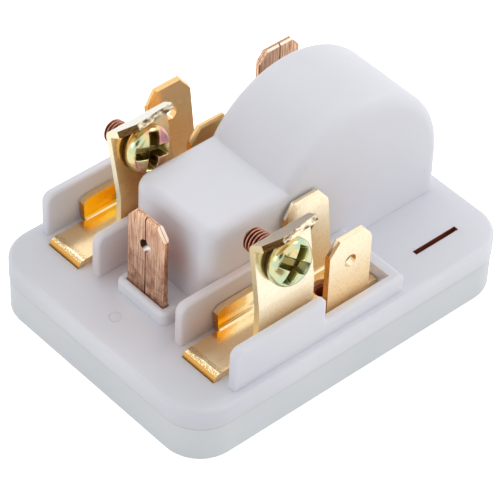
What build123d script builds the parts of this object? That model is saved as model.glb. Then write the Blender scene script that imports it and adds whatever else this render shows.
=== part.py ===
from build123d import *
import os
from math import cos, radians, sin, sqrt, tan

# Compressor start relay, in millimetres. The origin is the centre of the bottom face, +X runs along the
# long side towards the dome, +Y towards the neutral tray and +Z up, away from the compressor.

# Plinth: bottom cover and the skirt of the upper housing
plinth_length = 48.3
plinth_width = 36.0
plinth_corner = 5.1
cover_height = 5.0
skirt_height = 2.75
roof_thickness = 1.5
skirt_wall = 1.2
cover_inset = 0.12
cover_floor = 1.6
spigot_wall = 0.8
spigot_clearance = 0.1
spigot_height = 1.0
rim_round = 0.5
base_round = 0.4

# Block and dome over the inner parts
hollow_wall = 1.5
block_front = -12.8
block_half_width = 6.7
block_rise = 12.8
block_corner = 2.2
crown_round = 1.6
dome_radius = 13.0
dome_margin = 1.35
dome_centre_rise = 6.0

# Terminal trays
ledge_width = 1.1
tray_inner_width = 7.8
tray_wall = 1.25
tray_front = -17.6
tray_step = -4.2
tray_end = 7.8
end_wall = 1.5
tray_high_rise = 5.85
tray_low_rise = 2.35
tray_nose_round = 1.2
tray_step_round = 0.5
tray_edge_round = 0.4
wall_root = 0.5

# Pad round the front blade
pad_front = -17.1
pad_half_width = 4.2
pad_rise = 1.7
pad_corner = 0.9
pad_round = 0.6

# Mark of an ejector pin on the plinth
ejector_x = -20.1
ejector_y = 0.5
ejector_radius = 0.75
ejector_depth = 0.07

# Brass screw terminals
brass = 0.8
strip_width = 7.05
strip_offset = 0.1
strip_flat = 5.2
strip_end = 6.1
leg_x = -18.35
leg_bend = 0.95
leg_tongue = 3.0
foot_bend = 1.4
tab_foot_bend = 0.8
flange_bend = 0.5
flange_front = -13.1
flange_rise = 3.4
flange_nose = 1.0
plate_front = -12.85
plate_width = 8.05
kink_rise = 8.25
kink_bend = 3.0
lean_length = 7.95
lip_angle = 32.0
lip_bend = 0.35
lip_left = 1.8
lip_corner = 2.1
lip_length = 2.8
lip_right = 1.6
brass_tab_start = -2.5
outer_tab_rise = 11.9
inner_tab_rise = 12.2
line_tab_extra = -0.4
neutral_tab_extra = 0.4
tilt_rise = 2.0
floor_hole_radius = 1.5
floor_hole_x = 0.5
line_plate_lean = 8.9
line_tab_lean = 6.5
neutral_plate_lean = 13.3
neutral_tab_lean = 8.4

# 6.3 mm push-on tabs
tab_width = 6.3
tab_chamfer_across = 1.3
tab_chamfer_down = 1.65
tab_hole_radius = 0.85
tab_hole_drop = 3.9
tab_bevel = 0.22

# Copper blades folded from two layers of sheet
copper = 0.8
copper_bend = 0.5
blade_shoulder = 0.65
shoulder_gap = 0.15
blade_foot = 3.6
blade_hole_drop = 4.15
blade_round = 0.25
seam_width = 0.18
seam_depth = 0.3
layer_gap = 0.06
front_blade_x = -15.85
front_blade_rise = 13.05
rear_blade_x = 15.0
rear_blade_y = 13.2
rear_blade_rise = 13.15
slot_contact_x = 16.3
slot_contact_y = -13.3
slot_contact_thickness = 0.5
slot_contact_drop = 1.0

# Slots and small holes in the roof
slot_clearance = 0.1
slot_mouth = 6.7
slot_gap = 0.67
roof_hole_radius = 1.1

# M3 screws and split spring washers
screw_radius = 1.5
screw_length = 6.0
screw_along = 4.95
screw_clearance = 0.06
screw_tip = 0.5
head_radius = 2.95
head_height = 1.75
head_round = 1.0
recess_length = 3.3
recess_width = 0.8
recess_depth = 1.1
recess_taper = 8.0
washer_radius = 2.8
washer_slit = 0.5
washer_thickness = 0.5
washer_edge = 0.12

# Pins of the compressor and the sleeves that grip them
pin_pitch = 11.0
common_pin_x = -10.0
pin_hole_radius = 1.9
pin_lead_in = 0.5
sleeve_bore = 1.6
sleeve_wall = 0.45
sleeve_slit = 0.5
sleeve_lead_in = 0.25
sleeve_clearance = 0.03
sleeve_gap = 0.25

# Bus plates on the cover floor
bus = 0.5
bus_edge = 1.0
rail_width = 5.4
rail_end = 19.7
start_rail_end = 19.4
peg_radius = 0.8
peg_clearance = 0.05
peg_head_radius = 1.35
peg_head = 0.5
peg_head_taper = 25.0

# PTC disc, its seat and its sprung contacts
disc_radius = 9.5
disc_thickness = 2.6
disc_edge = 0.25
disc_clearance = 0.1
seat_length = 14.0
seat_gap = 5.0
seat_thickness = 5.0
seat_height = 5.1
spring = 0.4
spring_width = 10.0
spring_slit = 0.8
spring_gap = 0.4
spring_touch = 0.05
spring_top = 6.65
spring_tail = 6.0
spring_foot = 3.8
spring_foot_bend = 0.5
spring_turn = 0.42
bow_angle = 17.0
bow_radius = 8.0

# Levels and lines that several pieces share
plinth_top = cover_height + skirt_height
roof_under = plinth_top - roof_thickness
bus_top = cover_floor + bus
block_top = plinth_top + block_rise
dome_x = plinth_length / 2 - dome_margin - dome_radius
dome_z = plinth_top + dome_centre_rise
hollow_half_width = block_half_width - hollow_wall
tray_inner_y = block_half_width + ledge_width
tray_outer_y = tray_inner_y + tray_inner_width
tray_centre = (tray_inner_y + tray_outer_y) / 2
line_y = -tray_centre + strip_offset
neutral_y = tray_centre + strip_offset
pin_x = common_pin_x + pin_pitch * sqrt(3) / 2
run_pin = (pin_x, -pin_pitch / 2)
start_pin = (pin_x, pin_pitch / 2)
common_pin = (common_pin_x, 0)
sleeve_radius = sleeve_bore + sleeve_wall
leg_centre_x = leg_x + brass / 2
tab_end = brass_tab_start + tab_width
plate_end = plate_front + plate_width
line_pegs = [(-9.0, line_y), (9.5, line_y)]
start_pegs = [(5.0, tray_centre), (-1.6, tray_centre)]
common_pegs = [(leg_centre_x, -2.4), (leg_centre_x, 5.6)]


def crown(inset, base, rounded):
    """Terminal block and dome, `inset` inside their outer faces, standing on the level `base`."""
    half = block_half_width - inset
    with BuildPart() as block:
        with BuildSketch(Plane.XY.offset(base)):
            with Locations(((block_front + inset + dome_x) / 2, 0)):
                Rectangle(dome_x - block_front - inset, 2 * half)
        extrude(amount=block_top - inset - base)
        if rounded:
            fillet(block.edges().filter_by(Axis.Z).group_by(Axis.X)[0], radius=block_corner)
            top_edges = block.faces().sort_by(Axis.Z)[-1].edges()
            fillet(top_edges.filter_by(Axis.Y, reverse=True), radius=crown_round)
    with BuildPart() as dome:
        with BuildSketch(Plane.XZ):
            with BuildLine():
                radius = dome_radius - inset
                left = (dome_x - radius, dome_z)
                right = (dome_x + radius, dome_z)
                ThreePointArc(left, (dome_x, dome_z + radius), right)
                Polyline(right, (dome_x + radius, base), (dome_x - radius, base), left)
            make_face()
        extrude(amount=half, both=True)
        if rounded:
            side_edges = dome.faces().filter_by(Axis.Y).edges()
            fillet(side_edges.filter_by(lambda edge: edge.center().Z > base + 0.01), radius=crown_round)
    with BuildPart() as both:
        add(block.part)
        add(dome.part)
    return both.part


def bent_sheet(plane, points, radii, thickness, side, width):
    """Sheet folded along a line of points in `plane`, `width` wide along the plane's normal."""
    with BuildPart() as sheet:
        with BuildSketch(plane):
            with BuildLine():
                FilletPolyline(*points, radius=radii)
                offset(amount=thickness, side=side)
            make_face()
        extrude(amount=width)
    return sheet.part


def tab_outline(start, rise, root, hole_drop):
    """Face of a push-on tab: a 6.3 mm wide strip from `root` to `rise` with a cut tip and a latch hole."""
    end = start + tab_width
    with BuildSketch() as outline:
        with BuildLine():
            Polyline(
                (start, root),
                (end, root),
                (end, rise - tab_chamfer_down),
                (end - tab_chamfer_across, rise),
                (start + tab_chamfer_across, rise),
                (start, rise - tab_chamfer_down),
                close=True,
            )
        make_face()
        with Locations((start + tab_width / 2, rise - hole_drop)):
            Circle(tab_hole_radius, mode=Mode.SUBTRACT)
    return outline.sketch_local


def tip_edges(tab, rise, thickness):
    """Long edges round the cut tip of a tab that ends at `rise`, on both of its faces."""
    above = tab.edges().filter_by(GeomType.LINE).filter_by(
        lambda edge: edge.center().Z > rise - tab_chamfer_down
    )
    return above.filter_by(lambda edge: edge.length > 1.5 * thickness)


def folded_blade(frame, rise, seam_side):
    """Copper tab whose sides are folded back to a seam, with its foot on the frame's +x side, y up.

    The seam is in the face away from the foot when `seam_side` is 1 and in the other when it is -1.
    """
    wide = tab_width + 2 * blade_shoulder
    outer = -copper / 2
    sheet = bent_sheet(
        frame.offset(-wide / 2),
        [(blade_foot, bus_top), (outer, bus_top), (outer, rise)],
        [copper_bend + copper],
        copper,
        Side.RIGHT,
        wide,
    )
    across = Plane(frame.origin, x_dir=frame.z_dir, z_dir=-frame.x_dir)
    upright = tab_outline(-tab_width / 2, rise, bus_top, blade_hole_drop)
    with BuildPart() as blade:
        add(sheet)
        with BuildSketch(across):
            add(upright)
            with Locations((0, bus_top)):
                Rectangle(wide, roof_under - shoulder_gap - bus_top, align=(Align.CENTER, Align.MIN))
        extrude(amount=2 * blade_foot, both=True, mode=Mode.INTERSECT)
        uprights = blade.edges().filter_by(Axis.Z).filter_by(lambda edge: edge.center().Z > roof_under)
        fillet(uprights, radius=blade_round)
        tip = blade.faces().sort_by(Axis.Z)[-1].edges().sort_by(SortBy.LENGTH)[-2:]
        chamfer(tip, length=tab_bevel)
        with BuildSketch(across):
            with Locations((0, rise)):
                Rectangle(tab_width, tab_chamfer_down, align=(Align.CENTER, Align.MAX))
        extrude(amount=layer_gap / 2, both=True, mode=Mode.SUBTRACT)
        with BuildSketch(across.offset(-seam_side * outer)):
            with Locations((0, roof_under)):
                Rectangle(seam_width, rise - roof_under, align=(Align.CENTER, Align.MIN))
        extrude(amount=-seam_side * seam_depth, mode=Mode.SUBTRACT)
    return blade.part


def terminal(centre_y, plate_lean, tab_lean, tab_extra):
    """Brass screw terminal, folded from one sheet, with its centre line on y = centre_y."""
    top_face = plinth_top + brass
    outer_top = plinth_top + outer_tab_rise + tab_extra
    inner_top = plinth_top + inner_tab_rise + tab_extra
    outer_y = centre_y - strip_width / 2
    inner_y = centre_y + strip_width / 2
    flat_start = outer_y + foot_bend + brass
    tab_flat_start = outer_y + tab_foot_bend + brass
    flat_end = inner_y - flange_bend - brass

    with BuildPart() as strip:
        add(
            bent_sheet(
                Plane.XZ.offset(-centre_y - strip_flat / 2),
                [(strip_end, top_face), (leg_x, top_face), (leg_x, cover_floor)],
                [leg_bend],
                brass,
                Side.LEFT,
                strip_flat,
            )
        )
        with BuildSketch(Plane.YZ.offset(leg_x)):
            with Locations((centre_y, (bus_top + top_face) / 2)):
                Rectangle(strip_flat, top_face - bus_top)
            with Locations((centre_y, (cover_floor + bus_top) / 2)):
                Rectangle(leg_tongue, bus)
        extrude(amount=strip_end - leg_x, mode=Mode.INTERSECT)
        with BuildSketch(Plane.XY.offset(plinth_top)):
            with Locations((plate_front, centre_y - strip_flat / 2)):
                Rectangle(
                    brass_tab_start - plate_front,
                    flat_start - centre_y + strip_flat / 2,
                    align=(Align.MIN, Align.MIN),
                )
            with Locations((brass_tab_start, centre_y - strip_flat / 2)):
                Rectangle(
                    tab_width,
                    tab_flat_start - centre_y + strip_flat / 2,
                    align=(Align.MIN, Align.MIN),
                )
            with Locations((flange_front, centre_y + strip_flat / 2)):
                Rectangle(
                    tab_end - flange_front,
                    centre_y + strip_flat / 2 - flat_end,
                    align=(Align.MIN, Align.MAX),
                )
        extrude(amount=brass, mode=Mode.SUBTRACT)

    kink = (outer_y, plinth_top + kink_rise)
    lean = radians(plate_lean)
    plate_tip = (kink[0] + lean_length * sin(lean), kink[1] + lean_length * cos(lean))
    lip = radians(lip_angle)
    lip_tip = (plate_tip[0] - lip_length * cos(lip), plate_tip[1] + lip_length * sin(lip))
    foot = (centre_y, plinth_top)
    corner = (outer_y, plinth_top)
    screw_plate = bent_sheet(
        Plane.YZ.offset(plate_front),
        [foot, corner, kink, plate_tip, lip_tip],
        [foot_bend + brass, kink_bend, lip_bend],
        brass,
        Side.RIGHT,
        plate_width,
    )
    lip_frame = Plane((plate_front, *plate_tip), x_dir=(1, 0, 0), z_dir=(0, sin(lip), cos(lip)))
    with BuildPart() as plate:
        add(screw_plate)
        with BuildSketch(lip_frame):
            with BuildLine():
                Polyline(
                    (0, -lip_left),
                    (lip_corner, -lip_length),
                    (plate_width, -lip_right),
                    (plate_width, -2 * lip_length),
                    (0, -2 * lip_length),
                    close=True,
                )
            make_face()
        extrude(amount=2 * brass, both=True, mode=Mode.SUBTRACT)
        with BuildSketch(screw_frame(centre_y, plate_lean)):
            Circle(screw_radius + screw_clearance)
        extrude(amount=-2 * brass, mode=Mode.SUBTRACT)

    outer_tab = bent_sheet(
        Plane.YZ.offset(brass_tab_start),
        [foot, corner, (outer_y, outer_top)],
        [tab_foot_bend + brass],
        brass,
        Side.RIGHT,
        tab_width,
    )
    tilt = radians(tab_lean)
    inner_tip = (inner_y + (inner_top - plinth_top - tilt_rise) * tan(tilt), inner_top)
    inner_sheet = bent_sheet(
        Plane.YZ.offset(flange_front),
        [foot, (inner_y, plinth_top), (inner_y, plinth_top + tilt_rise), inner_tip],
        [flange_bend + brass, kink_bend],
        brass,
        Side.LEFT,
        tab_end - flange_front,
    )
    face_plane = Plane.XZ.offset(-centre_y)
    outer_face = tab_outline(brass_tab_start, outer_top, plinth_top, tab_hole_drop)
    inner_face = tab_outline(brass_tab_start, inner_top, plinth_top, tab_hole_drop)
    with BuildPart() as tab:
        add(outer_tab)
        with BuildSketch(face_plane):
            add(outer_face)
        extrude(amount=strip_width, both=True, mode=Mode.INTERSECT)
        chamfer(tip_edges(tab, outer_top, brass), length=tab_bevel)
    with BuildPart() as flange:
        add(inner_sheet)
        with BuildSketch(face_plane):
            add(inner_face)
            with BuildLine():
                FilletPolyline(
                    (flange_front, plinth_top),
                    (tab_end, plinth_top),
                    (tab_end, plinth_top + flange_rise),
                    (flange_front, plinth_top + flange_rise),
                    radius=[0, 0, 0, flange_nose],
                    close=True,
                )
            make_face()
        extrude(amount=2 * strip_width, both=True, mode=Mode.INTERSECT)
        chamfer(tip_edges(flange, inner_top, brass), length=tab_bevel)
    with BuildPart() as whole:
        add(strip.part)
        add(plate.part)
        add(tab.part)
        add(flange.part)
        with BuildSketch(Plane.XY.offset(plinth_top)):
            with Locations((floor_hole_x, centre_y)):
                Circle(floor_hole_radius)
        extrude(amount=brass, mode=Mode.SUBTRACT)
    return whole.part


def screw_frame(centre_y, plate_lean):
    """Frame on the plate's outer face at the screw, its z pointing out of the plate towards the head."""
    lean = radians(plate_lean)
    outer_y = centre_y - strip_width / 2
    seat_y = outer_y + screw_along * sin(lean)
    seat_z = plinth_top + kink_rise + screw_along * cos(lean)
    return Plane(
        (plate_front + plate_width / 2, seat_y, seat_z),
        x_dir=(1, 0, 0),
        z_dir=(0, -cos(lean), sin(lean)),
    )


def slotted(x, y, length_x, length_y):
    """Cutter for a slot through the roof, centred on (x, y)."""
    with BuildPart() as cutter:
        with BuildSketch(Plane.XY.offset(roof_under - wall_root)):
            with Locations((x, y)):
                Rectangle(length_x, length_y)
        extrude(amount=roof_thickness + pad_rise + 2 * wall_root)
    return cutter.part


os.makedirs("parts", exist_ok=True)

# Upper housing
outer_crown = crown(0, roof_under, True)
inner_crown = crown(hollow_wall, roof_under - wall_root, False)
blade_slot = (copper + 2 * slot_clearance, tab_width + 2 * slot_clearance)
leg_slot = (leg_bend + slot_clearance, strip_flat + 2 * slot_clearance)
leg_slot_x = leg_x + (leg_bend - slot_clearance) / 2
roof_slots = [
    slotted(front_blade_x, 0, *blade_slot),
    slotted(rear_blade_x, rear_blade_y, blade_slot[1], blade_slot[0]),
    slotted(slot_contact_x, slot_contact_y, slot_mouth, slot_gap),
    slotted(leg_slot_x, line_y, *leg_slot),
    slotted(leg_slot_x, neutral_y, *leg_slot),
]

with BuildPart() as tray:
    with BuildSketch(Plane.XY.offset(plinth_top - wall_root)):
        with Locations((tray_front, tray_inner_y - tray_wall)):
            Rectangle(
                tray_end - tray_front,
                tray_inner_width + 2 * tray_wall,
                align=(Align.MIN, Align.MIN),
            )
        with Locations((tray_front, tray_inner_y)):
            Rectangle(
                tray_end - end_wall - tray_front,
                tray_inner_width,
                align=(Align.MIN, Align.MIN),
                mode=Mode.SUBTRACT,
            )
    extrude(amount=wall_root + tray_high_rise)
    with BuildSketch(Plane.XZ.offset(-tray_centre)):
        with BuildLine():
            FilletPolyline(
                (tray_front, plinth_top - wall_root),
                (tray_end, plinth_top - wall_root),
                (tray_end, plinth_top + tray_low_rise),
                (tray_step, plinth_top + tray_low_rise),
                (tray_step, plinth_top + tray_high_rise),
                (tray_front, plinth_top + tray_high_rise),
                radius=[0, 0, tray_step_round, tray_step_round, tray_step_round, tray_nose_round],
                close=True,
            )
        make_face()
    extrude(amount=tray_inner_width, both=True, mode=Mode.INTERSECT)
    upper = tray.edges().filter_by(lambda edge: edge.center().Z > plinth_top + tray_low_rise - 0.01)
    fillet(upper.filter_by(Axis.X), radius=tray_edge_round)

with BuildPart() as pad:
    with BuildSketch(Plane.XY.offset(plinth_top - wall_root)):
        with Locations((pad_front, 0)):
            Rectangle(
                block_front + wall_root - pad_front,
                2 * pad_half_width,
                align=(Align.MIN, Align.CENTER),
            )
    extrude(amount=wall_root + pad_rise)
    fillet(pad.edges().filter_by(Axis.Z).group_by(Axis.X)[0], radius=pad_corner)
    top_edges = pad.faces().sort_by(Axis.Z)[-1].edges().sort_by(Axis.X)[:-1]
    fillet(top_edges, radius=pad_round)

with BuildPart() as upper_housing:
    with BuildSketch(Plane.XY.offset(cover_height)):
        RectangleRounded(plinth_length, plinth_width, plinth_corner)
    extrude(amount=skirt_height)
    fillet(upper_housing.edges().group_by(Axis.Z)[-1], radius=rim_round)
    with BuildSketch(Plane.XY.offset(cover_height)):
        RectangleRounded(
            plinth_length - 2 * skirt_wall,
            plinth_width - 2 * skirt_wall,
            plinth_corner - skirt_wall,
        )
    extrude(amount=skirt_height - roof_thickness, mode=Mode.SUBTRACT)
    add(outer_crown)
    add(tray.part)
    add(mirror(tray.part, about=Plane.XZ, mode=Mode.PRIVATE))
    add(pad.part)
    add(inner_crown, mode=Mode.SUBTRACT)
    for cutter in roof_slots:
        add(cutter, mode=Mode.SUBTRACT)
    with BuildSketch(Plane.XY.offset(plinth_top)):
        with Locations((floor_hole_x, line_y), (floor_hole_x, neutral_y)):
            Circle(roof_hole_radius)
    extrude(amount=-roof_thickness, mode=Mode.SUBTRACT)
    with BuildSketch(Plane.XY.offset(plinth_top)):
        with Locations((ejector_x, ejector_y)):
            Circle(ejector_radius)
            Circle(ejector_radius - ejector_depth, mode=Mode.SUBTRACT)
    extrude(amount=-ejector_depth, mode=Mode.SUBTRACT)
upper_housing.part.label = "upper_housing"
export_step(upper_housing.part, "parts/upper_housing.step")

# Bottom cover
cover_length = plinth_length - 2 * cover_inset
cover_width = plinth_width - 2 * cover_inset
spigot_inset = skirt_wall + spigot_clearance
cavity_inset = spigot_inset + spigot_wall
with BuildPart() as bottom_cover:
    with BuildSketch():
        RectangleRounded(cover_length, cover_width, plinth_corner - cover_inset)
    extrude(amount=cover_height)
    fillet(bottom_cover.edges().group_by(Axis.Z)[0], radius=base_round)
    with BuildSketch(Plane.XY.offset(cover_height)):
        RectangleRounded(
            plinth_length - 2 * spigot_inset,
            plinth_width - 2 * spigot_inset,
            plinth_corner - spigot_inset,
        )
    extrude(amount=spigot_height)
    with BuildSketch(Plane.XY.offset(cover_floor)):
        RectangleRounded(
            plinth_length - 2 * cavity_inset,
            plinth_width - 2 * cavity_inset,
            plinth_corner - cavity_inset,
        )
    extrude(amount=cover_height + spigot_height - cover_floor, mode=Mode.SUBTRACT)
    with BuildSketch(Plane.XY.offset(cover_floor)):
        rib_offset = (seat_gap + seat_length) / 4
        with Locations((dome_x - rib_offset, 0), (dome_x + rib_offset, 0)):
            Rectangle((seat_length - seat_gap) / 2, seat_thickness)
    extrude(amount=seat_height)
    with BuildSketch(Plane.XZ):
        with Locations((dome_x, dome_z)):
            Circle(disc_radius + disc_clearance)
    extrude(amount=disc_thickness / 2 + disc_clearance, both=True, mode=Mode.SUBTRACT)
    with BuildSketch(Plane.XY.offset(cover_floor)):
        with Locations(*line_pegs, *start_pegs, *common_pegs):
            Circle(peg_radius)
    extrude(amount=bus)
    with BuildSketch(Plane.XY.offset(bus_top)):
        with Locations(*line_pegs, *start_pegs, *common_pegs):
            Circle(peg_head_radius)
    extrude(amount=peg_head, taper=peg_head_taper)
    with Locations(*[(x, y, 0) for x, y in (run_pin, start_pin, common_pin)]):
        Hole(pin_hole_radius)
    mouths = bottom_cover.faces().sort_by(Axis.Z)[0].inner_wires().edges()
    chamfer(mouths, length=pin_lead_in)
bottom_cover.part.label = "bottom_cover"
export_step(bottom_cover.part, "parts/bottom_cover.step")

# Brass terminals with their screws and washers
for name, centre_y, plate_lean, tab_lean, tab_extra in (
    ("line", line_y, line_plate_lean, line_tab_lean, line_tab_extra),
    ("neutral", neutral_y, neutral_plate_lean, neutral_tab_lean, neutral_tab_extra),
):
    brass_terminal = terminal(centre_y, plate_lean, tab_lean, tab_extra)
    brass_terminal.label = f"{name}_terminal"
    export_step(brass_terminal, f"parts/{name}_terminal.step")

    seat = screw_frame(centre_y, plate_lean)
    with BuildPart() as washer:
        with BuildSketch(seat):
            Circle(washer_radius)
            Circle(screw_radius + screw_clearance, mode=Mode.SUBTRACT)
            Rectangle(washer_radius, washer_slit, align=(Align.MIN, Align.CENTER), mode=Mode.SUBTRACT)
        extrude(amount=washer_thickness)
        chamfer(washer.edges().filter_by(GeomType.CIRCLE).sort_by(SortBy.RADIUS)[-2:], length=washer_edge)
    washer.part.label = f"{name}_washer"
    export_step(washer.part, f"parts/{name}_washer.step")

    head_seat = seat.offset(washer_thickness)
    axis = Axis(seat.origin, seat.z_dir)
    with BuildPart() as screw:
        with BuildSketch(head_seat):
            Circle(head_radius)
        extrude(amount=head_height)
        fillet(screw.edges().sort_by(axis)[-1], radius=head_round)
        with BuildSketch(head_seat.offset(head_height)):
            Rectangle(recess_length, recess_width)
            Rectangle(recess_width, recess_length)
        extrude(amount=-recess_depth, taper=recess_taper, mode=Mode.SUBTRACT)
        with BuildSketch(head_seat):
            Circle(screw_radius)
        extrude(amount=-screw_length)
        chamfer(screw.edges().sort_by(axis)[0], length=screw_tip)
    screw.part.label = f"{name}_screw"
    export_step(screw.part, f"parts/{name}_screw.step")

# Copper blades and the tongue under the slot
front_frame = Plane((front_blade_x, 0, 0), x_dir=(1, 0, 0), z_dir=(0, -1, 0))
front_blade = folded_blade(front_frame, plinth_top + front_blade_rise, 1)
front_blade.label = "front_blade"
export_step(front_blade, "parts/front_blade.step")

rear_frame = Plane((rear_blade_x, rear_blade_y, 0), x_dir=(0, -1, 0), z_dir=(-1, 0, 0))
rear_blade = folded_blade(rear_frame, plinth_top + rear_blade_rise, -1)
rear_blade.label = "rear_blade"
export_step(rear_blade, "parts/rear_blade.step")

with BuildPart() as slot_contact:
    with BuildSketch(Plane.XY.offset(bus_top)):
        with Locations((slot_contact_x, slot_contact_y)):
            Rectangle(tab_width, slot_contact_thickness)
    extrude(amount=plinth_top - slot_contact_drop - bus_top)
    chamfer(slot_contact.edges().group_by(Axis.Z)[-1].filter_by(Axis.X), length=slot_contact_thickness / 4)
slot_contact.part.label = "slot_contact"
export_step(slot_contact.part, "parts/slot_contact.step")

# Sprung contact of the start side, and its mirror image on the run side
spring_inner_y = hollow_half_width - spring_gap - spring
bow = radians(bow_angle)
touch_y = disc_thickness / 2 + spring_touch + spring
bow_y = touch_y - bow_radius * (1 / cos(bow) - 1)
top_y = bow_y + spring_top * tan(bow)
tail_y = bow_y + spring_tail * tan(bow)
spring_sheet = bent_sheet(
    Plane.YZ.offset(dome_x - spring_width / 2),
    [
        (spring_inner_y + spring + spring_foot, bus_top),
        (spring_inner_y, bus_top),
        (spring_inner_y, dome_z + spring_top),
        (top_y, dome_z + spring_top),
        (bow_y, dome_z),
        (tail_y, dome_z - spring_tail),
    ],
    [spring_foot_bend, spring_turn, spring_turn, bow_radius],
    spring,
    Side.RIGHT,
    spring_width,
)
finger_pitch = (spring_width + spring_slit) / 3
with BuildPart() as start_contact:
    add(spring_sheet)
    with BuildSketch(Plane.XZ.offset(-spring_inner_y + spring_turn)):
        with Locations((dome_x - finger_pitch / 2, dome_z), (dome_x + finger_pitch / 2, dome_z)):
            Rectangle(spring_slit, 2 * spring_top - 2 * spring_turn)
    extrude(amount=spring_inner_y, mode=Mode.SUBTRACT)
start_contact.part.label = "start_contact"
export_step(start_contact.part, "parts/start_contact.step")

run_contact = mirror(start_contact.part, about=Plane.XZ)
run_contact.label = "run_contact"
export_step(run_contact, "parts/run_contact.step")

with BuildPart() as ptc_disc:
    with BuildSketch(Plane.XZ):
        with Locations((dome_x, dome_z)):
            Circle(disc_radius)
    extrude(amount=disc_thickness / 2, both=True)
    chamfer(ptc_disc.edges().filter_by(GeomType.CIRCLE), length=disc_edge)
ptc_disc.part.label = "ptc_disc"
export_step(ptc_disc.part, "parts/ptc_disc.step")

# Bus plates
arm_half = sleeve_radius + bus_edge
leg_slot_in_bus = (brass + 2 * slot_clearance, leg_tongue + 2 * slot_clearance)
with BuildPart() as run_bus:
    with BuildSketch(Plane.XY.offset(cover_floor)):
        with Locations((leg_x - bus_edge, line_y)):
            Rectangle(rail_end - leg_x + bus_edge, rail_width, align=(Align.MIN, Align.CENTER))
        with Locations((pin_x, run_pin[1])):
            Rectangle(2 * arm_half, run_pin[1] - line_y, align=(Align.CENTER, Align.MAX))
            Circle(arm_half)
        with Locations((dome_x, -spring_inner_y - spring)):
            Rectangle(spring_width, -line_y - spring_inner_y - spring, align=(Align.CENTER, Align.MAX))
        with Locations(run_pin):
            Circle(sleeve_radius + sleeve_clearance, mode=Mode.SUBTRACT)
        with Locations((leg_centre_x, line_y)):
            Rectangle(*leg_slot_in_bus, mode=Mode.SUBTRACT)
        with Locations(*line_pegs):
            Circle(peg_radius + peg_clearance, mode=Mode.SUBTRACT)
    extrude(amount=bus)
run_bus.part.label = "run_bus"
export_step(run_bus.part, "parts/run_bus.step")

with BuildPart() as start_bus:
    with BuildSketch(Plane.XY.offset(cover_floor)):
        with Locations((pin_x - arm_half, tray_centre)):
            Rectangle(start_rail_end - pin_x + arm_half, rail_width, align=(Align.MIN, Align.CENTER))
        with Locations((pin_x, start_pin[1])):
            Rectangle(2 * arm_half, tray_centre - start_pin[1], align=(Align.CENTER, Align.MIN))
            Circle(arm_half)
        with Locations((dome_x, spring_inner_y + spring)):
            Rectangle(spring_width, tray_centre - spring_inner_y - spring, align=(Align.CENTER, Align.MIN))
        with Locations(start_pin):
            Circle(sleeve_radius + sleeve_clearance, mode=Mode.SUBTRACT)
        with Locations(*start_pegs):
            Circle(peg_radius + peg_clearance, mode=Mode.SUBTRACT)
    extrude(amount=bus)
start_bus.part.label = "start_bus"
export_step(start_bus.part, "parts/start_bus.step")

with BuildPart() as common_bus:
    with BuildSketch(Plane.XY.offset(cover_floor)):
        with Locations((leg_x - bus_edge, 0)):
            Rectangle(
                common_pin_x - leg_x + bus_edge,
                tab_width + 2 * blade_shoulder,
                align=(Align.MIN, Align.CENTER),
            )
        with Locations(common_pin):
            Circle(arm_half)
        with Locations((leg_x - bus_edge, 0)):
            Rectangle(
                brass + 2 * bus_edge,
                neutral_y + strip_flat / 2,
                align=(Align.MIN, Align.MIN),
            )
        with Locations(common_pin):
            Circle(sleeve_radius + sleeve_clearance, mode=Mode.SUBTRACT)
        with Locations((leg_centre_x, neutral_y)):
            Rectangle(*leg_slot_in_bus, mode=Mode.SUBTRACT)
        with Locations(*common_pegs):
            Circle(peg_radius + peg_clearance, mode=Mode.SUBTRACT)
    extrude(amount=bus)
common_bus.part.label = "common_bus"
export_step(common_bus.part, "parts/common_bus.step")

# Rolled sleeves, open along a slit, standing on the cover floor in the holes of the bus plates
for name, (x, y), slit_turn in (
    ("run", run_pin, 90),
    ("start", start_pin, -90),
    ("common", common_pin, 180),
):
    with BuildPart() as sleeve:
        with BuildSketch(Plane.XY.offset(cover_floor)):
            with Locations((x, y)):
                Circle(sleeve_radius)
                Circle(sleeve_bore, mode=Mode.SUBTRACT)
            with Locations(Location((x, y), slit_turn)):
                Rectangle(
                    sleeve_radius + sleeve_wall,
                    sleeve_slit,
                    align=(Align.MIN, Align.CENTER),
                    mode=Mode.SUBTRACT,
                )
        extrude(amount=roof_under - sleeve_gap - cover_floor)
        mouth = sleeve.edges().filter_by(GeomType.CIRCLE).group_by(Axis.Z)[0].sort_by(SortBy.RADIUS)[0]
        chamfer(mouth, length=sleeve_lead_in)
    sleeve.part.label = f"{name}_sleeve"
    export_step(sleeve.part, f"parts/{name}_sleeve.step")
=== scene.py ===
# %% [markdown]
# # A compressor start relay
# The relay is a white moulded box that pushes onto the pins of a refrigerator compressor. Folded brass
# terminals, plated screws and copper blades stand on it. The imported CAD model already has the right
# shapes and sizes, so this lesson loads it as a fixed frame and gives it finishes, screws with real
# threads, light and a camera.

# %% Load the frame
import bpy
import numpy as np
from mathutils import Matrix, Vector


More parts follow.
